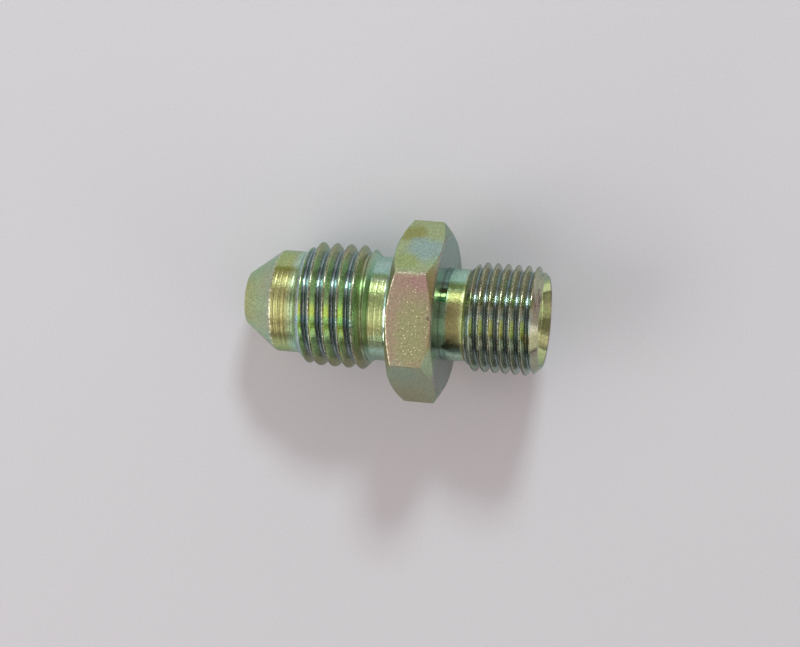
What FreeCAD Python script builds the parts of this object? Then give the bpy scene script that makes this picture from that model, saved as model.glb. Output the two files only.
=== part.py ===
import FreeCAD, Part
import math
import os

import Sketcher

# Hydraulic adapter, turned from one hexagon bar and bored through.
# Its own axis is X, from the tip of the flare nose to the open end of the port thread.

SIZES = [
    ("bore_dia", 4.4, "through bore"),
    ("tip_ring", 0.16, "width of the flat ring round the bore at the flare tip"),
    ("flare_angle", 74.0, "whole angle of the flare cone, degrees"),
    ("nose_dia", 9.04, "plain cylinder behind the flare cone"),
    ("nose_length", 4.97, "flare tip to the start of the flare thread"),
    ("flare_major", 10.98, "flare thread 7/16-20, over the crests"),
    ("flare_pitch", 1.27, "flare thread, crest to crest"),
    ("flare_depth", 0.77, "flare thread, crest to root"),
    ("flare_root", 0.2, "flare thread, width of the root"),
    ("flare_flanks", 60.0, "flare thread, between the flanks, degrees"),
    ("flare_phase", 5.046, "flare tip to a crest on the +Y side"),
    ("flare_relief_dia", 9.18, "undercut between flare thread and hexagon"),
    ("flare_relief_length", 2.05, "undercut between flare thread and hexagon"),
    ("relief_corner", 0.68, "radius of that undercut's corner at the hexagon"),
    ("flare_stud", 13.75, "flare tip to hexagon"),
    ("across_flats", 14.0, "hexagon"),
    ("hex_width", 4.15, "hexagon, face to face"),
    ("hex_face_dia", 13.6, "round face at each side of the hexagon"),
    ("hex_chamfer", 30.0, "hexagon chamfer against the round face, degrees"),
    ("neck_dia", 8.1, "undercut between hexagon and port thread"),
    ("neck_length", 2.05, "undercut between hexagon and port thread"),
    ("port_stud", 8.7, "hexagon to port end"),
    ("port_major", 9.62, "port thread G 1/8, over the crests"),
    ("port_pitch", 0.907, "port thread, crest to crest"),
    ("port_depth", 0.581, "port thread, crest to root"),
    ("port_root", 0.15, "port thread, width of the root"),
    ("port_flanks", 55.0, "port thread, between the flanks, degrees"),
    ("port_phase", 20.345, "flare tip to a crest on the +Y side"),
    ("port_rim_dia", 8.2, "outer edge of the ring at the port end"),
    ("port_ring", 0.15, "width of the flat ring round the seat cone at the port end"),
    ("seat_angle", 60.0, "whole angle of the seat cone, degrees"),
    ("end_chamfer", 45.0, "chamfer at both ends of the threads, degrees"),
]

# What follows from the sizes above. Places along the axis are measured from the flare tip.
FOLLOWS = [
    ("tip_dia", "bore_dia + 2 * tip_ring"),
    ("seat_mouth", "port_rim_dia - 2 * port_ring"),
    ("cone_end", "(nose_dia - tip_dia) / 2 / tan(flare_angle * 0.5deg)"),
    ("flare_slope", "(flare_major - nose_dia) / 2 / tan(end_chamfer * 1deg)"),
    ("flare_end", "flare_stud - flare_relief_length"),
    ("flare_end_slope", "(flare_major - flare_relief_dia) / 2 / tan(end_chamfer * 1deg)"),
    ("hex_end", "flare_stud + hex_width"),
    ("bar_dia", "across_flats / cos(30deg) + 0.3"),
    ("hex_slope", "(bar_dia - hex_face_dia) / 2 * tan(hex_chamfer * 1deg)"),
    ("neck_end", "hex_end + neck_length"),
    ("port_slope", "(port_major - neck_dia) / 2 / tan(end_chamfer * 1deg)"),
    ("port_end", "hex_end + port_stud"),
    ("port_end_slope", "(port_major - port_rim_dia) / 2 / tan(end_chamfer * 1deg)"),
    ("seat_end", "port_end - (seat_mouth - bore_dia) / 2 / tan(seat_angle * 0.5deg)"),
]

doc = FreeCAD.newDocument("hydraulic_adapter")
sheet = doc.addObject("Spreadsheet::Sheet", "Sizes")
for row, (name, value, note) in enumerate(SIZES, start=1):
    sheet.set("A%d" % row, name)
    sheet.set("B%d" % row, str(value))
    sheet.set("C%d" % row, note)
    sheet.setAlias("B%d" % row, name)
for row, (name, formula) in enumerate(FOLLOWS, start=len(SIZES) + 1):
    sheet.set("A%d" % row, name)
    sheet.set("B%d" % row, "=" + formula)
    sheet.setAlias("B%d" % row, name)
doc.recompute()


def worth(formula):
    """Value of a formula written in sizes from the sheet."""
    value = sheet.evalExpression(formula.replace("Sizes.", ""))
    return float(getattr(value, "Value", value))


def origin_part(body, role):
    for feature in body.Origin.OriginFeatures:
        if feature.Role == role:
            return feature
    raise RuntimeError("the body has no " + role)


def new_outline(body, name, role, corners):
    """Closed outline on an origin plane, each corner held by two distances from the sheet."""
    sketch = body.newObject("Sketcher::SketchObject", name)
    sketch.AttachmentSupport = [(origin_part(body, role), "")]
    sketch.MapMode = "FlatFace"
    spots = [FreeCAD.Vector(worth(x), worth(y), 0) for x, y in corners]
    count = len(spots)
    for i in range(count):
        sketch.addGeometry(Part.LineSegment(spots[i], spots[(i + 1) % count]), False)
    for i in range(count):
        sketch.addConstraint(Sketcher.Constraint("Coincident", i, 2, (i + 1) % count, 1))
    for i, (x, y) in enumerate(corners):
        if x == "0":
            sketch.addConstraint(Sketcher.Constraint("PointOnObject", i, 1, -2))
        else:
            along = Sketcher.Constraint("DistanceX", -1, 1, i, 1, spots[i].x)
            sketch.setExpression("Constraints[%d]" % sketch.addConstraint(along), x)
        across = Sketcher.Constraint("DistanceY", -1, 1, i, 1, spots[i].y)
        sketch.setExpression("Constraints[%d]" % sketch.addConstraint(across), y)
    sketch.Visibility = False
    return sketch


def round_edge(shape, place, diameter):
    """Name of the round edge at a place along the axis, of a given diameter."""
    for number, edge in enumerate(shape.Edges, start=1):
        if not isinstance(edge.Curve, Part.Circle):
            continue
        off = abs(edge.Curve.Center.x - place) + abs(2 * edge.Curve.Radius - diameter)
        if off < 0.001:
            return "Edge%d" % number
    raise RuntimeError("no round edge of diameter %.2f was found" % diameter)


def cut_made(body, before):
    """Recompute, and make sure that the last feature took something away."""
    doc.recompute()
    if body.Shape.Volume > before - 0.001:
        raise RuntimeError(body.Tip.Label + " cut nothing")


def cut_thread(body, side, start, stop):
    """One right-hand groove, from the undercut or air before a thread to that behind it."""
    turns = "ceil((Sizes.{0}_phase - {1}) / Sizes.{0}_pitch + 1)"
    first = ("(Sizes.{0}_phase + (0.5 - " + turns + ") * Sizes.{0}_pitch)").format(side, start)
    floor = "(Sizes.{0}_major / 2 - Sizes.{0}_depth)".format(side)
    top = "(Sizes.{0}_major / 2 + 0.05)".format(side)
    narrow = "Sizes.{0}_root / 2".format(side)
    wide = "(Sizes.{0}_root / 2 + (Sizes.{0}_depth + 0.05) * tan(Sizes.{0}_flanks * 0.5deg))"
    wide = wide.format(side)
    before = body.Shape.Volume
    groove = new_outline(body, side + "_groove", "XY_Plane", [
        (first + " - " + narrow, floor),
        (first + " + " + narrow, floor),
        (first + " + " + wide, top),
        (first + " - " + wide, top),
    ])
    thread = body.newObject("PartDesign::SubtractiveHelix", side + "_thread")
    thread.Profile = groove
    thread.ReferenceAxis = (groove, ["H_Axis"])
    thread.Mode = 0
    thread.LeftHanded = False
    thread.Reversed = False
    thread.Angle = 0
    thread.setExpression("Pitch", "Sizes.%s_pitch" % side)
    thread.setExpression("Height", "%s - %s" % (stop, first))
    cut_made(body, before)


body = doc.addObject("PartDesign::Body", "adapter")
body.Label = "adapter"

# Turned outline, from the flare tip over the outside and back through the bore.
turned = new_outline(body, "turned_outline", "XY_Plane", [
    ("0", "Sizes.bore_dia / 2"),
    ("0", "Sizes.tip_dia / 2"),
    ("Sizes.cone_end", "Sizes.nose_dia / 2"),
    ("Sizes.nose_length", "Sizes.nose_dia / 2"),
    ("Sizes.nose_length + Sizes.flare_slope", "Sizes.flare_major / 2"),
    ("Sizes.flare_end - Sizes.flare_end_slope", "Sizes.flare_major / 2"),
    ("Sizes.flare_end", "Sizes.flare_relief_dia / 2"),
    ("Sizes.flare_stud", "Sizes.flare_relief_dia / 2"),
    ("Sizes.flare_stud", "Sizes.hex_face_dia / 2"),
    ("Sizes.flare_stud + Sizes.hex_slope", "Sizes.bar_dia / 2"),
    ("Sizes.hex_end - Sizes.hex_slope", "Sizes.bar_dia / 2"),
    ("Sizes.hex_end", "Sizes.hex_face_dia / 2"),
    ("Sizes.hex_end", "Sizes.neck_dia / 2"),
    ("Sizes.neck_end", "Sizes.neck_dia / 2"),
    ("Sizes.neck_end + Sizes.port_slope", "Sizes.port_major / 2"),
    ("Sizes.port_end - Sizes.port_end_slope", "Sizes.port_major / 2"),
    ("Sizes.port_end", "Sizes.port_rim_dia / 2"),
    ("Sizes.port_end", "Sizes.seat_mouth / 2"),
    ("Sizes.seat_end", "Sizes.bore_dia / 2"),
])
blank = body.newObject("PartDesign::Revolution", "turned_blank")
blank.Profile = turned
blank.ReferenceAxis = (turned, ["H_Axis"])
blank.Angle = 360
doc.recompute()

# Hexagon: one flat is cut along the bar and repeated round the axis.
full = body.Shape.Volume
beyond = new_outline(body, "beyond_the_flat", "YZ_Plane", [
    ("-Sizes.bar_dia / 2", "Sizes.across_flats / 2"),
    ("Sizes.bar_dia / 2", "Sizes.across_flats / 2"),
    ("Sizes.bar_dia / 2", "Sizes.bar_dia / 2 + 1"),
    ("-Sizes.bar_dia / 2", "Sizes.bar_dia / 2 + 1"),
])
flat = body.newObject("PartDesign::Pocket", "first_flat")
flat.Profile = beyond
flat.Type = 1
flat.Reversed = True
cut_made(body, full)
full = body.Shape.Volume
flats = body.newObject("PartDesign::PolarPattern", "six_flats")
flats.Originals = [flat]
flats.Axis = (origin_part(body, "X_Axis"), [""])
flats.Angle = 360
flats.Occurrences = 6
body.Tip = flats
cut_made(body, full)

# The flare thread's undercut ends at the hexagon in a rounded corner.
full = body.Shape.Volume
corner = body.newObject("PartDesign::Fillet", "relief_corner")
corner.Base = (flats, [round_edge(body.Shape, worth("flare_stud"), worth("flare_relief_dia"))])
corner.setExpression("Radius", "Sizes.relief_corner")
doc.recompute()
if body.Shape.Volume < full + 0.001:
    raise RuntimeError("the undercut's corner was not rounded")

# Threads, each with its own run-in and run-out.
cut_thread(body, "flare", "Sizes.nose_length", "Sizes.flare_stud - Sizes.flare_relief_length / 2")
cut_thread(body, "port", "Sizes.neck_end", "Sizes.port_end + Sizes.port_pitch / 2")

# The adapter lies as it comes to rest, on the hexagon's lower flat and on the flare thread.
# It touches at that flat's near edge and where the first full crest on the under side begins.
edge_x = worth("flare_stud + (across_flats - hex_face_dia) / 2 * tan(hex_chamfer * 1deg)")
edge_z = -worth("across_flats / 2")
full_x = worth("nose_length + flare_slope")
crest_z = -worth("flare_major / 2")
crest_x = worth("flare_phase - 0.25 * flare_pitch")
while crest_x < full_x:
    crest_x += worth("flare_pitch")
crest_x -= worth("(flare_pitch - flare_root) / 2 - flare_depth * tan(flare_flanks * 0.5deg)")
crest_x = max(crest_x, full_x)
pitch = math.atan2(crest_z - edge_z, edge_x - crest_x)
turn = FreeCAD.Rotation(FreeCAD.Vector(0, 1, 0), -math.degrees(pitch))
body.Placement = FreeCAD.Placement(FreeCAD.Vector(0, 0, 0), turn)
doc.recompute()

for item in doc.Objects:
    if "Invalid" in item.State or "Error" in item.State:
        raise RuntimeError(item.Label + " is not sound")
box = body.Shape.optimalBoundingBox(False)
body.Placement = FreeCAD.Placement(FreeCAD.Vector(-(box.XMin + box.XMax) / 2, 0, -box.ZMin), turn)
doc.recompute()
if body.Shape.isNull() or not body.Shape.isValid():
    raise RuntimeError("the adapter's shape is not valid")
os.makedirs("parts", exist_ok=True)
body.Shape.exportStep("parts/adapter.step")
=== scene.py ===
import math

import bmesh
import bpy
from mathutils import Matrix, Vector


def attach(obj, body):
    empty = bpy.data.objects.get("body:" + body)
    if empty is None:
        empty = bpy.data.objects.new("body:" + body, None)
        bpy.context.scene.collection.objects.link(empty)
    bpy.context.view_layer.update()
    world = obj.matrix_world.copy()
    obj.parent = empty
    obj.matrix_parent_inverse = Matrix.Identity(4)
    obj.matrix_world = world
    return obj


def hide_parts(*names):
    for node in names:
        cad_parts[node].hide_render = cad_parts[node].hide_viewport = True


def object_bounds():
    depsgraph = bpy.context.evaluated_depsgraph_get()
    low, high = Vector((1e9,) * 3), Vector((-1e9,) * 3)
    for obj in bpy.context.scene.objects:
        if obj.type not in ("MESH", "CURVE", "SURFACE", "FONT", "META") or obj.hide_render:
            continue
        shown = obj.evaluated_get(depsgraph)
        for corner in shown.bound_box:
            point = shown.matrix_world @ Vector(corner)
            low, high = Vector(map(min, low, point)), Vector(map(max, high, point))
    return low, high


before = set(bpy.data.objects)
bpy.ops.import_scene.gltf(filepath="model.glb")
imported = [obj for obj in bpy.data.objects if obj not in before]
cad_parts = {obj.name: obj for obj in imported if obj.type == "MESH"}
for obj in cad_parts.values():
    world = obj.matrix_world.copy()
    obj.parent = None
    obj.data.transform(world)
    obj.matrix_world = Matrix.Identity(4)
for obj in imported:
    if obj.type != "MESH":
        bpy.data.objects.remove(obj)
cad_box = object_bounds()

# Sizes in millimetres. Places are measured along the adapter's own axis from the flare tip.
MM = 0.001
BORE_R = 2.2
TIP_R = 2.36
TIP_RING_R = (BORE_R + TIP_R) / 2 + 0.01
NOSE_R = 4.52
CONE_END = (NOSE_R - TIP_R) / math.tan(math.radians(37))
RELIEF_R = 4.59
RELIEF_CORNER = 0.68
HEX_START = 13.75
HEX_END = 17.9
HEX_FLAT_R = 7.0
HEX_FACE_R = 6.8
HEX_CHAMFER = math.radians(30)
NECK_R = 4.05
PORT_END = 26.6
PORT_RIM_R = 4.1
END_BEVEL = 0.02
SEAT_R = 3.95
SEAT_END = PORT_END - (SEAT_R - BORE_R) / math.tan(math.radians(30))

# Both threads. A crest lies on the +Y side at the phase; the ends slope down at 45 degrees.
# The fade is how fast a groove grows shallow over its last FADE_LENGTH.
FLARE = {"start": 4.97, "end": 11.7, "low_start": NOSE_R, "low_end": RELIEF_R, "crest": 5.49,
         "depth": 0.77, "pitch": 1.27, "root": 0.2, "half_angle": 30.0, "phase": 5.046,
         "rows": 26, "rounding": 0.16, "fade": 0.0}
PORT = {"start": 19.95, "end": PORT_END - END_BEVEL, "low_start": NECK_R, "low_end": PORT_RIM_R,
        "crest": 4.81, "depth": 0.581, "pitch": 0.907, "root": 0.15, "half_angle": 27.5,
        "phase": 20.345, "rows": 20, "rounding": 0.06, "fade": 0.5}
FADE_LENGTH = 0.4
ROOT_ROUNDING = 0.10
RUN_IN_ROUNDING = 0.05

# Roundings of the edges, which catch the light.
TIP_EDGE = 0.06
CONE_EDGE = 0.4
HEX_CORNER = 0.12
HEX_RIM_START = 0.10
HEX_RIM_END = 0.07
FACE_EDGE = 0.07
NECK_CORNER = 0.04
SEAT_EDGE = 0.04
SEAT_CORNER = 0.1
BORE_EDGE = 0.05

# The mesh's columns in degrees: closer together at the corners of the hexagon.
NEAR_CORNER = (-1.3, -0.75, -0.427, -0.2, 0.0, 0.2, 0.427, 0.75, 1.3)
COLUMN_STEP = 2.5
# An arc wider than BROAD_ARC has more steps. A run's first row stays close to its edge.
BROAD_ARC = 0.3
BROAD_STEPS = 12
FINE_STEPS = 4
EDGE_ROW = 0.03
EDGE_SHARE = 0.2
# Points nearer than this, in metres, are one point.
WELD = 2e-7
DEGENERATE = 1e-7
# How far a face of the hexagon's flats may be from HEX_FLAT_R, and how much it may lean.
FLAT_SLACK = 0.02
FLAT_LEAN = 0.3


def resting_place():
    """The adapter lies nose down, on a flare thread crest and on the edge of the lower flat."""
    full = FLARE["start"] + FLARE["crest"] - NOSE_R
    edge = HEX_START + (HEX_FLAT_R - HEX_FACE_R) * math.tan(HEX_CHAMFER)
    slope = math.atan2(HEX_FLAT_R - FLARE["crest"], edge - full)
    left = cad_box[0][0] / MM + TIP_R * math.sin(slope)
    height = FLARE["crest"] * math.cos(slope) - full * math.sin(slope)
    return Matrix.Translation(Vector((left, 0, height)) * MM) @ Matrix.Rotation(-slope, 4, "Y")


def around_angles():
    """Angles of the mesh columns, with more of them at the corners of the hexagon."""
    angles = []
    for corner in range(6):
        middle = corner * 60.0
        angles += [middle + turn for turn in NEAR_CORNER]
        angles += [middle + COLUMN_STEP * step for step in range(1, 24)]
    return sorted(angle % 360.0 for angle in angles)


def hex_radius(angle, flat, rounding):
    """Distance from the axis to the outline of a hexagon with rounded corners."""
    off = math.radians(abs((angle + 30.0) % 60.0 - 30.0))
    centre = (flat - rounding) / math.cos(math.radians(30))
    tangent = math.atan2(rounding * 0.5, centre + rounding * math.cos(math.radians(30)))
    if off < tangent:
        return centre * math.cos(off) + math.sqrt(rounding ** 2 - (centre * math.sin(off)) ** 2)
    return flat / math.cos(math.radians(30) - off)


def arc_points(first, corner, last, weight, steps):
    """A round arc between two tangent points, as a rational curve over their corner."""
    points = []
    for step in range(steps + 1):
        t = step / steps
        shares = ((1 - t) ** 2, 2 * t * (1 - t) * weight, t * t)
        points.append((first * shares[0] + corner * shares[1] + last * shares[2]) / sum(shares))
    return points


def run_points(begin, finish, steps):
    """Points along a straight run, the outer ones close to its ends."""
    length = (finish - begin).length
    edge = min(EDGE_ROW, length * EDGE_SHARE)
    marks = [edge]
    marks += [edge + (length - 2 * edge) * k / steps for k in range(1, steps)]
    marks += [length - edge]
    return [begin.lerp(finish, mark / length) for mark in marks]


def rounded_path(corners, spans):
    """Points along straight runs joined by round arcs; spans gives the parts of each run."""
    ends = (0, len(corners) - 1)
    cut = []
    for i, (x, r, radius) in enumerate(corners):
        here = Vector((x, r))
        if i in ends or radius == 0:
            cut.append((here, here, here, 0))
            continue
        back = (Vector(corners[i - 1][:2]) - here).normalized()
        ahead = (Vector(corners[i + 1][:2]) - here).normalized()
        turn = math.acos(max(-1.0, min(1.0, -back.dot(ahead))))
        reach = radius * math.tan(turn / 2)
        cut.append((here + back * reach, here, here + ahead * reach, math.cos(turn / 2)))
    points = []
    for i, (first, corner, last, weight) in enumerate(cut):
        if weight:
            steps = BROAD_STEPS if corners[i][2] > BROAD_ARC else FINE_STEPS
            points += arc_points(first, corner, last, weight, steps)
        else:
            points.append(first)
        if i < ends[1]:
            points += run_points(last, cut[i + 1][0], spans[i])
    return points


def soft_least(a, b, width):
    """The lesser of two values, with the change from one to the other rounded."""
    blend = max(0.0, min(1.0, 0.5 + 0.5 * (b - a) / width))
    return b + (a - b) * blend - width * blend * (1 - blend)


def thread_radius(thread, place, v):
    """Radius of a thread at a place along the axis; v is that place unwound along the helix."""
    if place <= thread["start"] + 1e-9:
        return thread["low_start"]
    if place >= thread["end"] - 1e-9:
        return thread["low_end"]
    pitch = thread["pitch"]
    off = abs((v - thread["phase"]) % pitch - pitch / 2)
    slope = 1 / math.tan(math.radians(thread["half_angle"]))
    low = thread["crest"] - thread["depth"]
    flank = low + (off - thread["root"] / 2) * slope
    radius = -soft_least(-flank, -low, ROOT_ROUNDING)
    radius += thread["fade"] * max(0.0, place - thread["end"] + FADE_LENGTH)
    radius = soft_least(radius, thread["crest"], thread["rounding"])
    from_start = thread["low_start"] + (place - thread["start"])
    from_end = thread["low_end"] + (thread["end"] - place)
    radius = soft_least(radius, from_start, RUN_IN_ROUNDING)
    return soft_least(radius, from_end, RUN_IN_ROUNDING)


class Shell:
    """Grid patches that share the same columns round the axis."""

    def __init__(self, angles):
        self.angles = angles
        self.spots = []
        self.faces = []

    def add(self, rows, shift=0):
        """rows[i][j] is (place, radius) in column j; the last column joins the first, shift rows on."""
        columns = len(self.angles)
        base = len(self.spots)
        for row in rows:
            for j, (place, radius) in enumerate(row):
                angle = math.radians(self.angles[j])
                self.spots.append((place, radius * math.cos(angle), radius * math.sin(angle)))
        for i in range(len(rows) - 1):
            for j in range(columns):
                k = (j + 1) % columns
                up = shift if k == 0 else 0
                if i + 1 + up >= len(rows):
                    continue
                a = base + i * columns + j
                b = base + (i + 1) * columns + j
                c = base + (i + 1 + up) * columns + k
                d = base + (i + up) * columns + k
                self.faces.append((a, d, c, b))


def turned_rows(angles, corners, spans):
    """Rows of a plain turned stretch, the same in every column."""
    path = rounded_path(corners, spans)
    return [[(p.x, p.y) for _ in angles] for p in path]


def thread_rows(angles, thread):
    """Rows that follow the helix, held between the rings at both ends of the thread."""
    pitch = thread["pitch"]
    step = pitch / thread["rows"]
    first = thread["start"] - pitch
    v = thread["phase"] - math.ceil((thread["phase"] - first) / step) * step
    rows = []
    while v < thread["end"] + step:
        row = []
        for angle in angles:
            place = v + pitch * angle / 360.0
            place = max(thread["start"], min(thread["end"], place))
            row.append((place, thread_radius(thread, place, place - pitch * angle / 360.0)))
        rows.append(row)
        v += step
    return rows


def hex_rows(angles):
    """From the flare relief over the hexagon to the neck, worked out column by column."""
    columns = []
    for angle in angles:
        outer = hex_radius(angle, HEX_FLAT_R, HEX_CORNER)
        slope = (outer - HEX_FACE_R) * math.tan(HEX_CHAMFER)
        corners = [
            (FLARE["end"], RELIEF_R, 0), (HEX_START, RELIEF_R, RELIEF_CORNER),
            (HEX_START, HEX_FACE_R, FACE_EDGE), (HEX_START + slope, outer, HEX_RIM_START),
            (HEX_END - slope, outer, HEX_RIM_END), (HEX_END, HEX_FACE_R, FACE_EDGE),
            (HEX_END, NECK_R, NECK_CORNER), (PORT["start"], NECK_R, 0),
        ]
        columns.append(rounded_path(corners, [5, 5, 3, 8, 3, 5, 5]))
    return [[(column[i].x, column[i].y) for column in columns] for i in range(len(columns[0]))]


def build_skin():
    """One closed skin: nose, flare thread, relief and hexagon, neck, port thread, seat and bore."""
    angles = around_angles()
    shell = Shell(angles)
    shell.add(turned_rows(angles, [
        (0, TIP_RING_R, 0), (0, TIP_R, TIP_EDGE), (CONE_END, NOSE_R, CONE_EDGE),
        (FLARE["start"], NOSE_R, 0),
    ], [1, 8, 6]))
    shell.add(thread_rows(angles, FLARE), shift=FLARE["rows"])
    shell.add(hex_rows(angles))
    shell.add(thread_rows(angles, PORT), shift=PORT["rows"])
    shell.add(turned_rows(angles, [
        (PORT["end"], PORT_RIM_R, 0), (PORT_END, PORT_RIM_R - END_BEVEL, 0), (PORT_END, SEAT_R, SEAT_EDGE),
        (SEAT_END, BORE_R, SEAT_CORNER), (0, BORE_R, BORE_EDGE), (0, TIP_RING_R, 0),
    ], [1, 1, 8, 14, 1]))
    return shell


def on_flat(face):
    """Whether a face belongs to the hexagon's flats, which keep the drawn bar's skin."""
    middle_r = math.hypot(*face.calc_center_median().yz) / MM
    return middle_r > HEX_FLAT_R - FLAT_SLACK and abs(face.normal.x) < FLAT_LEAN


def build_adapter():
    """The adapter's mesh, welded, shaded smooth and laid on the table."""
    shell = build_skin()
    mesh = bpy.data.meshes.new("adapter_surface")
    mesh.from_pydata([(x * MM, y * MM, z * MM) for x, y, z in shell.spots], [], shell.faces)
    work = bmesh.new()
    work.from_mesh(mesh)
    bmesh.ops.remove_doubles(work, verts=work.verts, dist=WELD)
    bmesh.ops.dissolve_degenerate(work, edges=work.edges, dist=DEGENERATE)
    bmesh.ops.recalc_face_normals(work, faces=work.faces)
    for face in work.faces:
        face.material_index = 1 if on_flat(face) else 0
    work.to_mesh(mesh)
    work.free()
    mesh.shade_smooth()
    mesh.transform(resting_place())
    piece = bpy.data.objects.new("plated_adapter", mesh)
    bpy.context.collection.objects.link(piece)
    return piece


def srgb(red, green, blue):
    """A colour given as it looks on a screen, 0 to 255, turned into light."""
    levels = [value / 255 for value in (red, green, blue)]
    return tuple(c / 12.92 if c < 0.04045 else ((c + 0.055) / 1.055) ** 2.4 for c in levels)


# Colours of the thin yellow passivation, which shift between gold, pink, green and blue.
# The nose and the plain turned parts, from the flare end to the port end.
TIP_OLIVE = srgb(190, 197, 142)
SAGE = srgb(187, 200, 153)
SAGE_BLUE = srgb(181, 196, 166)
# A painted highlight on the cone's rounded edge and on the hexagon's rims.
EDGE_GLINT = srgb(252, 240, 222)
GOLD = srgb(165, 167, 112)
YELLOW_GREEN = srgb(185, 198, 136)
GREEN = srgb(172, 202, 161)
RUN_OUT = srgb(120, 138, 96)
LIME = srgb(168, 178, 122)
TEAL = srgb(188, 222, 206)
AMBER = srgb(175, 169, 120)
HEX_BROWN = srgb(166, 156, 108)
SLATE = srgb(174, 155, 158)
NECK_GREEN = srgb(169, 202, 172)
STRIPE = srgb(206, 212, 152)
# A painted green glint in the corner by the neck, then painted shade above it and low on the neck.
GLINT_GREEN = srgb(92, 168, 108)
SHADE_OLIVE = srgb(84, 90, 60)
MAUVE = srgb(169, 161, 145)
END_SAGE = srgb(179, 182, 155)
OLIVE = srgb(202, 212, 154)
INNER_OLIVE = srgb(155, 166, 114)
# Partly the film's colour, partly a painted reflection on the end chamfer.
CREAM = srgb(144, 142, 108)
# The threads: flanks, roots and crests. The flank colours are partly a painted reflection, the root colours
# are painted shade, and the pale crests are partly wear, partly a painted highlight.
FLANK_OLIVE = srgb(164, 175, 82)
FLANK_GREEN = srgb(162, 191, 129)
FLANK_SLATE = srgb(197, 214, 218)
TURN_OLIVE = srgb(165, 178, 132)
OLIVE_GREY = srgb(182, 182, 142)
PORT_OLIVE = srgb(151, 149, 84)
PORT_SLATE = srgb(166, 175, 158)
PORT_SAGE = srgb(186, 184, 158)
PORT_PALE = srgb(146, 149, 126)
ROOT = srgb(94, 104, 100)
ROOT_MID = srgb(106, 117, 110)
ROOT_PALE = srgb(150, 164, 164)
BEIGE = srgb(147, 147, 127)
# The hexagon's flats.
HEX_GOLD = srgb(155, 157, 118)
HEX_GREEN = srgb(173, 189, 128)
SAGE_TOP = srgb(181, 194, 149)
BAR_SAGE = srgb(167, 172, 146)
BAR_GREEN = srgb(160, 176, 154)
BAR_BROWN = srgb(168, 164, 132)
OLIVE_PATCH = srgb(164, 166, 102)
GREEN_PATCH = srgb(176, 200, 160)
BLUE = srgb(166, 191, 187)
MAGENTA = srgb(166, 134, 130)
PINK = srgb(162, 146, 126)
TAN = srgb(171, 166, 123)
# Painted sparkle highlights on the flats.
SPARKLE = srgb(250, 244, 196)
PIT = srgb(90, 92, 76)
# The sheet on the table.
PAPER = srgb(203, 200, 203)

# What the plated steel does to light seen at a slant.
SPECULAR_TINT = (0.75, 0.85, 0.85)


class Nodes:
    """Adds nodes to a tree. A feed is a plain value, a colour of three shares or a node's output."""

    def __init__(self, tree):
        self.tree = tree

    def node(self, kind, feeds=None, **settings):
        """A new node; feeds go to its inputs by name or number, settings to the node itself."""
        made = self.tree.nodes.new(kind)
        for key, value in settings.items():
            setattr(made, key, value)
        for key, value in (feeds or {}).items():
            self.feed(made.inputs[key], value)
        return made

    def feed(self, socket, value):
        """Links an output to an input, or sets the input's own value."""
        if isinstance(value, bpy.types.NodeSocket):
            self.tree.links.new(value, socket)
        elif socket.type == "RGBA":
            socket.default_value = (*value, 1.0)
        else:
            socket.default_value = value

    def calc(self, operation, *terms):
        made = self.node("ShaderNodeMath", operation=operation)
        for i, term in enumerate(terms):
            self.feed(made.inputs[i], term)
        return made.outputs[0]

    def times(self, *factors):
        """The product of several values, such as masks."""
        product = factors[0]
        for factor in factors[1:]:
            product = self.calc("MULTIPLY", product, factor)
        return product

    def weighted(self, base, *parts):
        """A base value and shares of others; each part is a value and its weight."""
        total = base
        for value, weight in parts:
            total = self.calc("MULTIPLY_ADD", value, weight, total)
        return total

    def without(self, mask):
        """1 where a mask is 0, and 0 where it is 1."""
        return self.calc("SUBTRACT", 1.0, mask)

    def length(self, first, second):
        """Length of two parts at right angles."""
        return self.calc("SQRT", self.calc("ADD", self.times(first, first), self.times(second, second)))

    def away(self, spot, place):
        """Distance from a place."""
        return self.node("ShaderNodeVectorMath", {0: spot, 1: place}, operation="DISTANCE").outputs["Value"]

    def step(self, value, low, high):
        """0 on the low side and 1 on the high side, with a smooth change between them."""
        made = self.node("ShaderNodeMapRange", {"Value": value, "From Min": low, "From Max": high},
                         interpolation_type="SMOOTHSTEP")
        return made.outputs["Result"]

    def band(self, value, low, high, soft):
        """1 between low and high, falling to 0 over a soft edge on both sides."""
        return self.times(self.step(value, low - soft, low + soft),
                          self.step(value, high + soft, high - soft))

    def ramp(self, factor, stops):
        """A run of colours; each stop is a position and a colour."""
        made = self.node("ShaderNodeValToRGB", {"Fac": factor})
        elements = made.color_ramp.elements
        while len(elements) < len(stops):
            elements.new(0.5)
        for element, (position, _) in zip(elements, stops):
            element.position = position
        for element, (_, colour) in zip(elements, stops):
            element.color = (*colour, 1.0)
        return made.outputs["Color"]

    def mix(self, factor, first, second, blend="MIX"):
        made = self.node("ShaderNodeMix", data_type="RGBA", blend_type=blend)
        self.feed(made.inputs["Factor"], factor)
        self.feed(made.inputs[6], first)
        self.feed(made.inputs[7], second)
        return made.outputs[2]

    def stain(self, colour, *stains):
        """A colour multiplied by tints; each stain is a mask and its tint."""
        for here, tint in stains:
            colour = self.mix(here, colour, tint, "MULTIPLY")
        return colour

    def noise(self, vector, scale, detail=2.0, roughness=0.5):
        made = self.node("ShaderNodeTexNoise", {"Vector": vector, "Scale": scale, "Detail": detail,
                                                "Roughness": roughness})
        return made.outputs["Fac"]


class Material(Nodes):
    """A material's nodes round its own shader."""

    def __init__(self, name):
        self.material = bpy.data.materials.new(name)
        self.material.use_nodes = True
        super().__init__(self.material.node_tree)
        self.inputs = self.tree.nodes["Principled BSDF"].inputs


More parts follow.
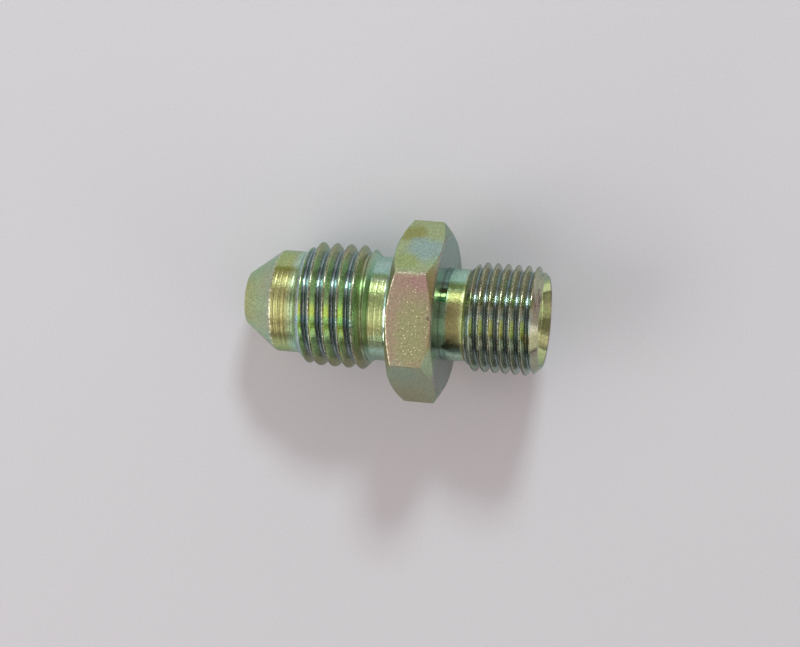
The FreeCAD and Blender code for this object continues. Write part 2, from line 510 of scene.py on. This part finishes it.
class Plating(Material):
    """Plated steel, painted by the place on the adapter in its own frame, in millimetres."""

    def __init__(self, name):
        super().__init__(name)
        place = resting_place()
        spot = self.node("ShaderNodeTexCoord").outputs["Object"]
        self.spot = self.node("ShaderNodeMapping", {"Vector": spot, "Location": place.translation,
                                                    "Rotation": place.to_euler(), "Scale": (MM, MM, MM)},
                              vector_type="TEXTURE").outputs["Vector"]
        parts = self.node("ShaderNodeSeparateXYZ", {"Vector": self.spot}).outputs
        self.x, self.y, self.z = parts["X"], parts["Y"], parts["Z"]

    def along(self, low, high, soft):
        """A band along the axis."""
        return self.band(self.x, low, high, soft)

    def across(self, low, high, soft):
        """A band across the axis, level with the table."""
        return self.band(self.y, low, high, soft)

    def ragged(self):
        """A drift in millimetres that makes the edges of patches uneven."""
        return self.weighted(-RAGGED_REACH, (self.noise(self.spot, 1.1, 3.0, 0.6), 2 * RAGGED_REACH))

    def patched(self, colour, patches):
        """A colour with ragged patches of other colours laid over it."""
        ragged = self.ragged()
        for place, reach, tint, strength in patches:
            near = self.calc("ADD", self.away(self.spot, place), ragged)
            here = self.step(near, reach * PATCH_OUTER, reach * PATCH_INNER)
            colour = self.mix(self.times(here, strength), colour, tint)
        return colour

    def finish(self, colour, rough, height):
        """Feeds the shader; the height of the relief is in millimetres."""
        bump = self.node("ShaderNodeBump", {"Strength": 1.0, "Distance": MM, "Height": height})
        for key, value in (("Base Color", colour), ("Roughness", rough), ("Normal", bump.outputs["Normal"]),
                           ("Metallic", 1.0), ("Specular Tint", SPECULAR_TINT)):
            self.feed(self.inputs[key], value)


# Patches of thicker and thinner film, and some of painted shade and reflection: place, reach, colour and
# strength. A patch fades between these shares of its reach, and its edge wanders by up to RAGGED_REACH
# millimetres.
PATCH_INNER = 0.5
PATCH_OUTER = 1.3
RAGGED_REACH = 0.7
FILM_AND_SHADE_PATCHES = (
    ((17.6, -4.0, 6.2), 1.6, GREEN_PATCH, 0.9),
    # Painted shade low on the neck.
    ((18.75, -2.3, 3.3), 0.5, SHADE_OLIVE, 0.8),
    ((19.3, -2.6, 3.1), 0.8, SHADE_OLIVE, 0.6),
    # The cream on the end chamfer, partly a painted reflection.
    ((26.3, -1.2, 4.2), 1.0, CREAM, 0.8),
    # Painted green glints low on the relief.
    ((12.6, -2.5, 3.9), 0.9, GREEN, 0.6),
    ((4.9, 0.9, 4.5), 0.6, RUN_OUT, 0.6),
)
BAR_PATCHES = (
    ((14.8, 7.1, 1.9), 1.3, OLIVE_PATCH, 0.9),
    ((16.7, 5.8, 4.0), 1.9, BLUE, 0.9),
    ((15.6, 6.2, 3.2), 1.0, BLUE, 0.7),
    ((15.1, 4.9, 5.5), 1.2, HEX_GREEN, 0.9),
    ((17.9, 4.9, 5.5), 1.2, GREEN_PATCH, 0.6),
    ((16.8, 3.3, 7.0), 0.9, MAGENTA, 0.8),
    ((15.3, 3.4, 7.0), 0.9, MAGENTA, 0.4),
    ((15.0, -7.4, 1.0), 2.4, BAR_BROWN, 0.7),
    ((15.2, -4.8, 5.6), 1.6, BAR_GREEN, 0.8),
)

# Stretches of the axis that the film's colours go by.
NOSE = (CONE_END, FLARE["start"])
FLARE_THREAD = (5.3, 10.7)
FLARE_LIME = (5.3, 9.6)
RELIEF = (FLARE["end"], HEX_START)
RELIEF_CURVE = (HEX_START - RELIEF_CORNER, HEX_START)
NECK_START = (HEX_END, HEX_END + 0.5)
NECK = (HEX_END + 0.5, PORT["start"])
PORT_THREAD = (20.2, 26.1)
END_CHAMFER = (PORT_END - 0.75, PORT_END + 0.5)
# Limits beyond the turned part, for bands with no lower or no upper end.
LOWEST = -6.0
HIGHEST = 6.0
# Radii of the thread roots.
FLARE_ROOTS = (4.5, 4.84)
PORT_ROOTS = (4.1, 4.32)
# Height across the axis as a share of the radius: where the colours turn from facing to aside,
# the painted dark lines high on the side, and the painted shade on the underside.
TURN_ASIDE = (0.54, 0.78)
PAINTED_DARK_LINE = (0.655, 0.745)
NECK_PAINTED_LINE = (0.65, 0.79)
UNDERSIDE_SHADE = (-0.6, -0.85)
# How much a flank's normal leans along the axis, from not at all to fully one colour.
TO_FLARE_END = (0.35, -0.2)
TO_PORT_END = (-0.1, 0.3)

# The film's colours along the axis: where the surface faces up or down, and where it faces aside.
# The aside colours are partly the film's own, partly a painted sheen of the film seen at a slant. The teal
# in the relief's curve is partly a painted highlight, and the green at the neck's start partly a painted
# reflection.
RAMP_LENGTH = 30.0
FACING_FILM = (
    (0.0, TIP_OLIVE), (0.5, TIP_OLIVE), (1.1, SAGE), (CONE_END - 0.05, SAGE_BLUE),
    (CONE_END + 0.05, GOLD), (4.2, GOLD),
    (FLARE["start"], GREEN), (FLARE["start"] + 0.6, FLANK_OLIVE), (FLARE["end"] - 2.0, FLANK_OLIVE),
    (FLARE["end"] - 1.6, TURN_OLIVE), (FLARE["end"] - 0.5, TURN_OLIVE), (FLARE["end"] - 0.1, RUN_OUT),
    (FLARE["end"] + 0.1, LIME), (HEX_START - RELIEF_CORNER, LIME),
    (HEX_START - RELIEF_CORNER + 0.1, TEAL), (HEX_START - 0.05, TEAL),
    (HEX_START + 0.1, AMBER), (HEX_END - 0.25, HEX_BROWN), (HEX_END - 0.12, HEX_BROWN),
    (HEX_END - 0.05, SLATE), (HEX_END + 0.05, NECK_GREEN), (HEX_END + 0.5, NECK_GREEN),
    (HEX_END + 0.7, AMBER), (PORT["start"] - 0.3, AMBER),
    (PORT["start"] - 0.12, STRIPE), (PORT["start"], STRIPE),
    (PORT["start"] + 0.2, PORT_OLIVE), (PORT_END - 0.8, PORT_OLIVE),
    (PORT_END - 0.6, MAUVE), (PORT_END, MAUVE),
)
ASIDE_FILM = (
    (0.0, SAGE), (CONE_END - 0.05, SAGE_BLUE), (CONE_END + 0.05, YELLOW_GREEN), (4.2, YELLOW_GREEN),
    (FLARE["start"], TEAL), (FLARE["start"] + 1.0, OLIVE_GREY), (FLARE["end"] - 0.8, OLIVE_GREY),
    (FLARE["end"], TEAL), (HEX_START - 0.1, TEAL),
    (HEX_START + 0.1, GREEN), (HEX_END - 0.15, GREEN), (HEX_END - 0.05, SLATE),
    (HEX_END + 0.1, TEAL), (PORT["start"] - 0.2, TEAL),
    (PORT["start"], OLIVE_GREY), (PORT_END - 0.8, OLIVE_GREY), (PORT_END - 0.6, END_SAGE),
    (PORT_END, END_SAGE),
)

# Fine lines round the axis, from x to x, that darken or brighten the film: painted highlights and shade of
# the tool's feed lines.
PAINTED_FEED_LINES = (
    (3.48, 3.60, (1.30, 1.32, 1.30)),
    (3.76, 3.86, (0.70, 0.72, 0.66)),
    (3.95, 4.06, (1.30, 1.32, 1.30)),
    (4.17, 4.28, (0.76, 0.78, 0.72)),
    (4.80, 4.92, (0.62, 0.66, 0.60)),
)
# Painted light and shade, as tints at fixed places: x limits, y limits, softness of the y limits, tint.
# These stand at places seen in the photograph, on the underside too.
BAND_SOFTNESS = 0.05
LIGHT_AND_SHADE_BANDS = (
    (FLARE_THREAD, (-1.35, -0.6), 0.12, (0.86, 1.0, 1.22)),
    (FLARE_THREAD, (2.6, 3.7), 0.2, (0.93, 0.92, 0.96)),
    ((5.3, 9.7), (-1.95, -1.38), 0.08, (1.0, 1.10, 1.14)),
    (NOSE, (2.3, 3.3), 0.2, (0.95, 0.93, 0.87)),
    (PORT_THREAD, (1.4, 2.5), 0.15, (0.93, 0.90, 0.93)),
    (PORT_THREAD, (-0.1, 1.2), 0.2, (1.04, 1.04, 1.12)),
    (NECK, (LOWEST, -3.25), 0.1, (1.13, 1.12, 1.02)),
    (RELIEF, (3.1, HIGHEST), 0.15, (0.88, 0.91, 0.94)),
    (RELIEF, (2.2, 3.0), 0.15, (1.12, 1.10, 1.12)),
    (RELIEF, (LOWEST, -3.6), 0.2, (0.96, 0.90, 0.84)),
    *(((low, high), (-3.4, 1.5), 0.4, tint) for low, high, tint in PAINTED_FEED_LINES),
    # Painted light and shade in lines where the flare thread runs out.
    ((10.88, 11.00), (-3.0, 2.0), 0.4, (1.20, 1.25, 1.10)),
    ((11.04, 11.32), (-3.0, 2.0), 0.4, (0.66, 0.70, 0.66)),
    ((11.42, 11.62), (-2.6, 1.6), 0.4, (1.45, 1.50, 1.30)),
)

# Strength of the single colours laid over crests, the painted highlight on the cone's edge and the painted
# highlight dots on the hexagon.
OVERLAY = 0.8
# Heights of the relief, in millimetres.
COARSE_FEED = 0.5
COARSE_DEPTH = 0.016
FINE_DEPTH = 0.016
BAR_DEPTH = 0.014
DENT_DEPTH = 0.02


class TurnedPlating(Plating):
    """Plating on the lathe-turned surfaces, with the zones that its colours go by."""

    def __init__(self):
        super().__init__("turned_plating")
        self.radius = self.length(self.y, self.z)
        self.rise = self.calc("DIVIDE", self.y, self.radius)
        self.sideways = self.calc("ABSOLUTE", self.rise)
        self.in_flare = self.along(*FLARE_THREAD, 0.2)
        self.in_port = self.times(self.along(*PORT_THREAD, 0.1), self.out(SEAT_R + 0.02, SEAT_R + 0.05))
        self.threads = self.calc("ADD", self.in_flare, self.in_port)
        self.flare_crest = self.times(self.in_flare, self.out(FLARE["crest"] - 0.05, FLARE["crest"] - 0.02))
        self.port_crest = self.times(self.in_port, self.out(PORT["crest"] - 0.02, PORT["crest"] - 0.006))
        self.inside = self.times(self.step(self.x, PORT_END - 3.4, PORT_END - 3.0),
                                 self.out(SEAT_R - 0.02, SEAT_R - 0.07))
        self.on_neck = self.along(HEX_END + 0.5, PORT["start"] - 0.15, 0.04)
        self.matte = self.step(self.x, CONE_END + 0.1, CONE_END - 0.1)
        self.plain = self.times(self.without(self.matte), self.without(self.threads))
        self.smooth = self.weighted(self.along(*NECK_START, 0.04), (self.along(*END_CHAMFER, 0.04), 1.0),
                                    (self.along(*RELIEF_CURVE, 0.03), 1.0))
        self.grain = self.noise(self.spot, 6.0, 2.0)

    def out(self, low, high):
        """0 within the first radius and 1 beyond the second; the other way round if high is less."""
        return self.step(self.radius, low, high)

    def base_film_and_sheen(self):
        """The film's colours along the axis, partly a painted sheen where they turn aside, and those inside
        the cone seat with painted reflections across it.
        """
        share = self.calc("DIVIDE", self.x, RAMP_LENGTH)
        facing, aside = (self.ramp(share, [(place / RAMP_LENGTH, colour) for place, colour in stops])
                         for stops in (FACING_FILM, ASIDE_FILM))
        colour = self.mix(self.step(self.sideways, *TURN_ASIDE), facing, aside)
        # Inside the cone seat: the light and dark bands across it are painted reflections.
        seat = self.mix(self.across(-1.2, 1.1, 0.25), OLIVE, INNER_OLIVE)
        seat = self.stain(seat, (self.across(1.9, 3.2, 0.15), (1.45, 1.55, 1.45)),
                          (self.across(0.5, 0.95, 0.1), (1.12, 1.18, 1.12)))
        return self.mix(self.inside, colour, seat)

    def flank_film_and_reflection(self, colour):
        """The flanks that look to the flare end are slate and the others green or sage, partly the film and
        partly a painted reflection.
        """
        normal = self.node("ShaderNodeNewGeometry").outputs["Normal"]
        axis = resting_place().to_3x3().col[0]
        lean = self.node("ShaderNodeVectorMath", {0: normal, 1: axis},
                         operation="DOT_PRODUCT").outputs["Value"]
        colour = self.mix(self.times(self.threads, self.step(lean, *TO_FLARE_END)), colour, FLANK_SLATE)
        front = self.times(self.without(self.across(-1.9, 0.5, 0.5)), self.along(*FLARE_LIME, 0.3),
                           self.step(self.sideways, 0.95, 0.75), self.step(lean, *TO_PORT_END))
        colour = self.mix(front, colour, FLANK_GREEN)
        # A slightly darker painted tint high on the flare thread.
        upper = self.times(self.in_flare, self.across(0.3, 1.4, 0.2))
        colour = self.stain(colour, (upper, (0.95, 0.93, 0.89)))
        # Painted reflection on the port thread's sides: slate below, sage above.
        port_sides = self.times(self.without(self.across(-1.2, 0.45, 0.3)), self.in_port)
        colour = self.mix(port_sides, colour, self.mix(self.step(self.y, 0.6, 1.8), PORT_SLATE, PORT_SAGE))
        # A painted glint line tinted green on the port thread.
        glint_line = self.times(self.in_port, self.across(1.5, 2.4, 0.12))
        return self.stain(colour, (glint_line, (0.66, 0.78, 0.60)))

    def root_shade_and_crest_film(self, colour):
        """The roots are painted shade, darkest a little below the middle and paler high and low; the crests
        are pale, partly wear and partly a painted highlight.
        """
        roots = self.calc("ADD", self.times(self.in_flare, self.band(self.radius, *FLARE_ROOTS, 0.05)),
                          self.times(self.in_port, self.band(self.radius, *PORT_ROOTS, 0.04)))
        low_root = self.mix(self.step(self.y, -2.8, -2.2), ROOT_PALE, ROOT)
        high_root = self.mix(self.step(self.y, 1.1, 1.7), ROOT_MID, ROOT_PALE)
        colour = self.mix(roots, colour, self.mix(self.step(self.y, -1.5, -0.7), low_root, high_root))
        colour = self.mix(self.times(self.flare_crest, OVERLAY), colour, BEIGE)
        return self.mix(self.times(self.port_crest, OVERLAY), colour, PORT_PALE)

    def drifting_film_and_painted_bands(self, colour):
        """The film's thickness drifts over a few millimetres, which turns the colour; then patches, and
        bands of painted light and shade.
        """
        drift = self.ramp(self.noise(self.spot, 0.32, 2.0, 0.55),
                          [(0.3, (1.05, 0.95, 0.97)), (0.5, (1.0, 1.0, 1.0)), (0.7, (0.90, 1.02, 0.95))])
        colour = self.patched(self.stain(colour, (1.0, drift)), FILM_AND_SHADE_PATCHES)
        return self.stain(colour, *(
            (self.times(self.along(*x_limits, BAND_SOFTNESS), self.across(*y_limits, soft)), tint)
            for x_limits, y_limits, soft, tint in LIGHT_AND_SHADE_BANDS))

    def painted_lines_and_neck_shade(self, colour):
        """Painted shade: a darker line high on the side of the plain parts, and the neck's darker places;
        the neck's glint is toned down.
        """
        line = self.times(self.band(self.rise, *PAINTED_DARK_LINE, 0.03),
                          self.calc("SUBTRACT", self.plain, self.smooth),
                          self.calc("LESS_THAN", self.radius, NOSE_R + 0.1))
        neck_low_shade = self.times(self.step(self.y, -1.0, -2.6), self.step(self.y, -3.05, -2.9))
        return self.stain(
            colour,
            # Painted dark lines, the neck's painted glint toned to yellow-lime, and painted shade low on the
            # neck.
            (line, (0.80, 0.81, 0.56)),
            (self.times(self.on_neck, self.band(self.rise, *NECK_PAINTED_LINE, 0.02)), (0.74, 0.72, 0.56)),
            (self.times(self.on_neck, self.across(1.3, 2.75, 0.1)), (0.75, 0.84, 0.68)),
            (self.times(self.on_neck, neck_low_shade), (0.52, 0.62, 0.68)))

    def hexagon_side_painted_light(self, colour):
        """Painted light by the hexagon: chamfer tints, partly film and partly painted reflection; painted
        shade on the rim of the round face, in the corner between the face and the neck, and on the neck's
        high ring; a painted green glint in that corner with painted shade above it.
        """
        by_rim = self.out(HEX_FACE_R - 0.3, HEX_FACE_R)
        by_neck = self.out(NECK_R + 0.15, NECK_R + 0.05)
        right_chamfer = self.times(self.along(HEX_END - 1.3, HEX_END - 0.08, 0.04), by_rim)
        left_chamfer = self.times(self.along(HEX_START + 0.03, HEX_START + 1.1, 0.03), by_rim)
        face_edge = self.times(self.along(HEX_END - 0.1, HEX_END - 0.01, 0.02),
                               self.out(HEX_FACE_R - 0.15, HEX_FACE_R - 0.05), self.across(-3.2, 4.6, 0.8))
        corner = self.times(self.along(HEX_END - 0.01, HEX_END + 0.05, 0.01), by_neck)
        high_ring = self.times(self.along(HEX_END + 0.02, HEX_END + 0.5, 0.04),
                               self.step(self.y, 2.6, 2.9), self.step(self.z, -1.0, 0.0))
        # Chamfer tints, partly film and partly painted reflection; the darker rim, corner and high ring are
        # painted shade.
        colour = self.stain(
            colour,
            (self.times(right_chamfer, self.step(self.y, -2.0, -3.0)), (0.93, 0.88, 0.93)),
            (self.times(right_chamfer, self.step(self.y, 4.9, 5.6)), (0.90, 0.76, 0.84)),
            (self.times(left_chamfer, self.across(1.5, 4.6, 0.5)), (0.76, 0.82, 1.0)),
            (face_edge, (0.6, 0.6, 0.56)),
            (corner, (0.4, 0.4, 0.4)),
            (high_ring, (0.72, 0.70, 0.74)))
        # A painted green glint in the corner between the face and the neck, with painted shade above it.
        glint = self.times(self.along(*NECK_START, 0.04), self.across(1.45, 2.6, 0.08), by_neck)
        return self.mix(glint, colour, self.mix(self.step(self.y, 1.7, 1.8), GLINT_GREEN, SHADE_OLIVE))

    def wear_and_painted_light_film(self, colour):
        """A painted highlight in dots on the cone's edge, painted shade on the underside, a random speckle,
        worn crests, and painted shade on the port crests' lower side.
        """
        # A painted highlight in dots along the cone's rounded edge.
        cone_edge_glint = self.times(self.along(CONE_END - 0.12, CONE_END + 0.1, 0.04),
                            self.step(self.noise(self.spot, 3.5, 1.0), 0.48, 0.6), OVERLAY)
        colour = self.mix(cone_edge_glint, colour, EDGE_GLINT)
        # Painted shade on the underside.
        shaded_underside = self.times(self.step(self.rise, *UNDERSIDE_SHADE), self.step(self.x, 5.2, 6.0),
                           self.step(self.inside, 1.0, 0.0))
        speckle = self.ramp(self.grain, [(0.34, (0.80, 0.81, 0.81)), (0.66, (1.17, 1.17, 1.15))])
        worn = self.ramp(self.noise(self.spot, 5.0, 2.0, 0.6),
                         [(0.38, (0.5, 0.5, 0.5)), (0.62, (1.5, 1.45, 1.4))])
        return self.stain(
            colour,
            (shaded_underside, (0.80, 0.75, 0.74)),
            (self.weighted(1.0, (self.in_port, -0.5)), speckle),
            (self.calc("ADD", self.flare_crest, self.port_crest), worn),
            # Painted shade on the port crests' lower side.
            (self.times(self.port_crest, self.step(self.y, 1.0, -0.5)), (0.5, 0.5, 0.45)))

    def feed_marks(self):
        """Ridges that the tool's feed left, coarse on the nose and the relief and finer elsewhere."""
        lathe = self.weighted(self.x, (self.radius, 0.4))
        turned = self.node("ShaderNodeCombineXYZ", {"X": lathe, "Y": self.times(self.y, 0.03),
                                                    "Z": self.times(self.z, 0.03)}).outputs[0]
        wander = self.weighted(self.x, (self.noise(turned, 1.5, 1.0), 0.5))
        wave = self.calc("ABSOLUTE", self.calc("SINE", self.times(wander, math.pi / COARSE_FEED)))
        on_coarse = self.calc("ADD", self.along(*NOSE, 0.05),
                              self.along(FLARE["end"] - 1.4, HEX_START - RELIEF_CORNER, 0.05))
        marks = self.weighted(self.times(self.noise(turned, 7.0, 2.0), FINE_DEPTH),
                              (self.times(on_coarse, self.step(wave, 0.45, 0.0)), -COARSE_DEPTH))
        run_out = self.times(self.in_flare, self.step(self.x, FLARE["end"] - 1.5, FLARE["end"] - 1.1))
        marks = self.times(self.weighted(self.plain, (run_out, 0.8)), marks)
        height = self.weighted(marks, (self.grain, self.weighted(0.008, (self.plain, 0.012))))
        return self.times(height, self.weighted(1.0, (self.smooth, -0.75)))

    def roughness(self):
        """Dull on the cone, smoothest in the corners by the hexagon and on the end chamfer."""
        rough = self.weighted(0.12, (self.matte, 0.12), (self.plain, 0.15), (self.grain, 0.12),
                              (self.on_neck, 0.04))
        rough = self.times(rough, self.weighted(1.0, (self.smooth, -0.62)))
        return self.weighted(rough, (self.in_port, 0.08), (self.in_flare, 0.07))


def turned_plating():
    """Plating on the lathe-turned surfaces, with fine turning marks round the axis."""
    film = TurnedPlating()
    colour = film.base_film_and_sheen()
    for layer in (film.flank_film_and_reflection, film.root_shade_and_crest_film, film.drifting_film_and_painted_bands,
                  film.painted_lines_and_neck_shade, film.hexagon_side_painted_light, film.wear_and_painted_light_film):
        colour = layer(colour)
    film.finish(colour, film.roughness(), film.feed_marks())
    tangent = film.node("ShaderNodeTangent", direction_type="RADIAL", axis="X").outputs[0]
    for key, value in (("Anisotropic", 0.7), ("Anisotropic Rotation", 0.25), ("Tangent", tangent)):
        film.feed(film.inputs[key], value)
    return film.material


def flecks(film, spot, scale, reach, share):
    """Small round flecks of several sizes; share is the part of the cells that have one."""
    cells = film.node("ShaderNodeTexVoronoi", {"Vector": spot, "Scale": scale}).outputs
    chance = film.node("ShaderNodeSeparateColor", {"Color": cells["Color"]}).outputs
    size = film.times(film.weighted(0.4, (chance[1], 0.8)), reach * scale)
    near = film.step(film.calc("SUBTRACT", size, cells["Distance"]), 0.0, 0.12)
    return film.times(near, film.calc("LESS_THAN", chance[0], share))


# The gold in the middle of the upper flat, its half sizes, and a small nick near the rim.
GOLD_PLACE = (16.3, -1.1)
GOLD_SIZE = (1.55, 3.0)
NICK_PLACE = (17.62, 0.25, 7.0)
PIT_SHIFT = (3.7, 1.9, 0.8)


def upper_gold(film):
    """1 in the ragged gold middle of the upper flat, and 0 toward its rims."""
    off = film.length(*(film.calc("DIVIDE", film.calc("SUBTRACT", place, middle), size)
                        for place, middle, size in zip((film.x, film.y), GOLD_PLACE, GOLD_SIZE)))
    return film.step(film.calc("ADD", off, film.ragged()), 1.5, 0.45)


def bar_film(film, gold):
    """The upper flat is gold in its middle and pink toward its rims; the flats next to it are green."""
    drift = film.noise(film.spot, 0.16, 2.0, 0.5)
    colour = film.ramp(drift, [(0.30, BAR_GREEN), (0.42, BAR_SAGE), (0.52, TAN), (0.62, HEX_GOLD),
                               (0.72, PINK)])
    colour = film.mix(film.step(film.z, 6.6, 6.9), colour, film.mix(gold, PINK, HEX_GOLD))
    high_side = film.step(film.z, -1.0, 0.5)
    colour = film.mix(film.times(film.step(film.y, 3.6, 4.2), high_side), colour, SAGE_TOP)
    colour = film.mix(film.times(film.step(film.y, -3.9, -4.2), high_side), colour, BAR_SAGE)
    return film.patched(colour, BAR_PATCHES)


def rim_glint_dots(film):
    """Painted highlight dots that follow the rim at the flare side and the edges between the flats."""
    slope = math.tan(HEX_CHAMFER)
    corner = film.calc("SQRT", film.calc("MULTIPLY_ADD", film.y, film.y, HEX_FLAT_R ** 2))
    rim = film.weighted(HEX_START - HEX_FACE_R * slope, (corner, slope))
    on_rim = film.step(film.calc("SUBTRACT", film.x, rim), 0.16, 0.06)
    on_edge = film.times(film.step(film.y, 3.90, 4.0), 0.7)
    dotted = film.step(film.noise(film.spot, 4.5, 1.0), 0.47, 0.60)
    return film.times(film.calc("MAXIMUM", on_rim, on_edge), dotted)


def bar_plating():
    """Plating on the six flats, which keep the drawn bar's slightly pitted skin."""
    film = Plating("bar_plating")
    gold = upper_gold(film)
    colour = bar_film(film, gold)
    grain = film.noise(film.spot, 6.0, 3.0, 0.7)
    shade = film.ramp(grain, [(0.35, (0.74, 0.74, 0.72)), (0.65, (1.24, 1.24, 1.20))])
    colour = film.stain(colour, (1.0, shade))
    # Painted sparkle highlights: bright flecks, most on the upper flat and in its gold middle.
    facing = film.step(film.z, 6.7, 6.9)
    bright = film.times(flecks(film, film.spot, 4.5, 0.055, 0.8), film.weighted(0.1, (facing, 0.55)),
                        film.weighted(0.7, (gold, 1.1)))
    colour = film.mix(bright, colour, SPARKLE)
    colour = film.mix(film.times(rim_glint_dots(film), facing, OVERLAY), colour, EDGE_GLINT)
    shifted = film.node("ShaderNodeVectorMath", {0: film.spot, 1: PIT_SHIFT}).outputs[0]
    nick = film.step(film.away(film.spot, NICK_PLACE), 0.19, 0.10)
    dents = film.calc("MAXIMUM", flecks(film, shifted, 3.1, 0.05, 0.30), nick)
    colour = film.mix(film.times(dents, 0.7), colour, PIT)
    height = film.weighted(0.0, (grain, BAR_DEPTH), (dents, -DENT_DEPTH))
    film.finish(colour, film.weighted(0.25, (grain, 0.3)), height)
    return film.material


adapter = build_adapter()
adapter.data.materials.append(turned_plating())
adapter.data.materials.append(bar_plating())
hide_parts("adapter")
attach(adapter, "root")

# Half the side of the sheet, and the scale of its grain, in metres and per metre.
FLOOR_HALF = 0.6
PAPER_GRAIN = 5.0 / MM


def build_floor():
    """A plain pale sheet with a faint grain."""
    mesh = bpy.data.meshes.new("floor")
    corners = [(x * FLOOR_HALF, y * FLOOR_HALF, 0) for x, y in ((-1, -1), (1, -1), (1, 1), (-1, 1))]
    mesh.from_pydata(corners, [], [(0, 1, 2, 3)])
    floor = bpy.data.objects.new("floor", mesh)
    bpy.context.collection.objects.link(floor)
    sheet = Material("floor_paper")
    spot = sheet.node("ShaderNodeTexCoord").outputs["Object"]
    grain = sheet.ramp(sheet.noise(spot, PAPER_GRAIN, 2.0, 0.7),
                       [(0.3, (0.97, 0.97, 0.97)), (0.7, (1.03, 1.03, 1.03))])
    sheet.feed(sheet.inputs["Base Color"], sheet.stain(PAPER, (1.0, grain)))
    sheet.feed(sheet.inputs["Roughness"], 0.9)
    mesh.materials.append(sheet.material)
    return floor


build_floor()

# Lights: name, degrees aside to +X and toward +Y from straight up, size in metres, radiance, colour.
LIGHT_DISTANCE = 0.5
WHITE = (1, 1, 1)
LIGHTS = (
    ("key", 4.5, 51.5, (0.092, 0.075), 56.0, (0.86, 1.05, 1.07)),
    ("window", -49, -19, (0.22, 0.32), 3.4, WHITE),
    ("high_window", -49, 18, (0.22, 0.26), 0.5, (0.85, 1.0, 1.2)),
    ("low_window", -36, -69, (0.15, 0.13), 3.6, WHITE),
    ("side_window", 60, -48, (0.22, 0.34), 1.1, WHITE),
)
# The room: pale light, lower toward the horizon.
ROOM = ((0.0, (0.26, 0.23, 0.23)), (0.3, (0.66, 0.585, 0.57)))
# Darker parts of the room: limits in degrees with their softness, and the share of light lost.
CAMERA_ASIDE = (-14, 48, 5)
CAMERA_TOWARD = (-7, 43, 3)
CAMERA_LOSS = 0.5
NEAR_LOW = (-140, -48, 9)
NEAR_LOSS = 0.55
FAR_LOW = (72, 96, 5)
FAR_LOSS = 0.15


def softbox(name, aside, toward, size, radiance, colour):
    """A light panel that looks at the adapter."""
    data = bpy.data.lights.new(name, "AREA")
    data.shape = "RECTANGLE"
    data.size, data.size_y = size
    data.energy = radiance * math.pi * size[0] * size[1]
    data.color = colour
    light = bpy.data.objects.new(name, data)
    turn = Matrix.Rotation(-math.radians(toward), 4, "X") @ Matrix.Rotation(math.radians(aside), 4, "Y")
    light.matrix_world = turn @ Matrix.Translation((0, 0, LIGHT_DISTANCE))
    bpy.context.collection.objects.link(light)


def studio_world():
    """Pale room light, lower toward the horizon, with the dark camera and hand overhead."""
    world = bpy.data.worlds.new("studio")
    world.use_nodes = True
    room = Nodes(world.node_tree)
    direction = room.node("ShaderNodeTexCoord").outputs["Generated"]
    parts = room.node("ShaderNodeSeparateXYZ", {"Vector": direction}).outputs
    aside = room.calc("ARCSINE", parts["X"])
    toward = room.calc("ARCTAN2", parts["Y"], parts["Z"])

    def between(angle, limits):
        return room.band(angle, *(math.radians(limit) for limit in limits))

    overhead = room.times(between(aside, CAMERA_ASIDE), between(toward, CAMERA_TOWARD))
    level = room.times(room.weighted(1.0, (overhead, -CAMERA_LOSS)),
                       room.weighted(1.0, (between(toward, NEAR_LOW), -NEAR_LOSS)),
                       room.weighted(1.0, (between(toward, FAR_LOW), -FAR_LOSS)))
    background = room.tree.nodes["Background"].inputs
    room.feed(background["Color"], room.ramp(parts["Z"], ROOM))
    room.feed(background["Strength"], level)
    return world


bpy.context.scene.world = studio_world()
for light in LIGHTS:
    softbox(*light)

# The camera at the photograph's viewing angle and distance; its lens in millimetres.
CAMERA_LENS = 91.742890
CAMERA_PLACE = Vector((0.003657, 0.020208, 0.186151))
CAMERA_RIGHT = Vector((0.99791, 0.059152, -0.026011))
CAMERA_UP = Vector((-0.061807, 0.991191, -0.117138))
CAMERA_BACK = Vector((0.018853, 0.1185, 0.992775))


def build_camera():
    """The camera, its axes and its place taken as the columns of its matrix."""
    data = bpy.data.cameras.new("camera")
    data.sensor_width = 36.0
    data.lens = CAMERA_LENS
    data.clip_start = 0.01
    camera = bpy.data.objects.new("camera", data)
    columns = (CAMERA_RIGHT, CAMERA_UP, CAMERA_BACK, CAMERA_PLACE)
    camera.matrix_world = Matrix((*(tuple(column[i] for column in columns) for i in range(3)), (0, 0, 0, 1)))
    bpy.context.collection.objects.link(camera)
    return camera


bpy.context.scene.camera = build_camera()
bpy.context.scene.view_settings.view_transform = "Standard"
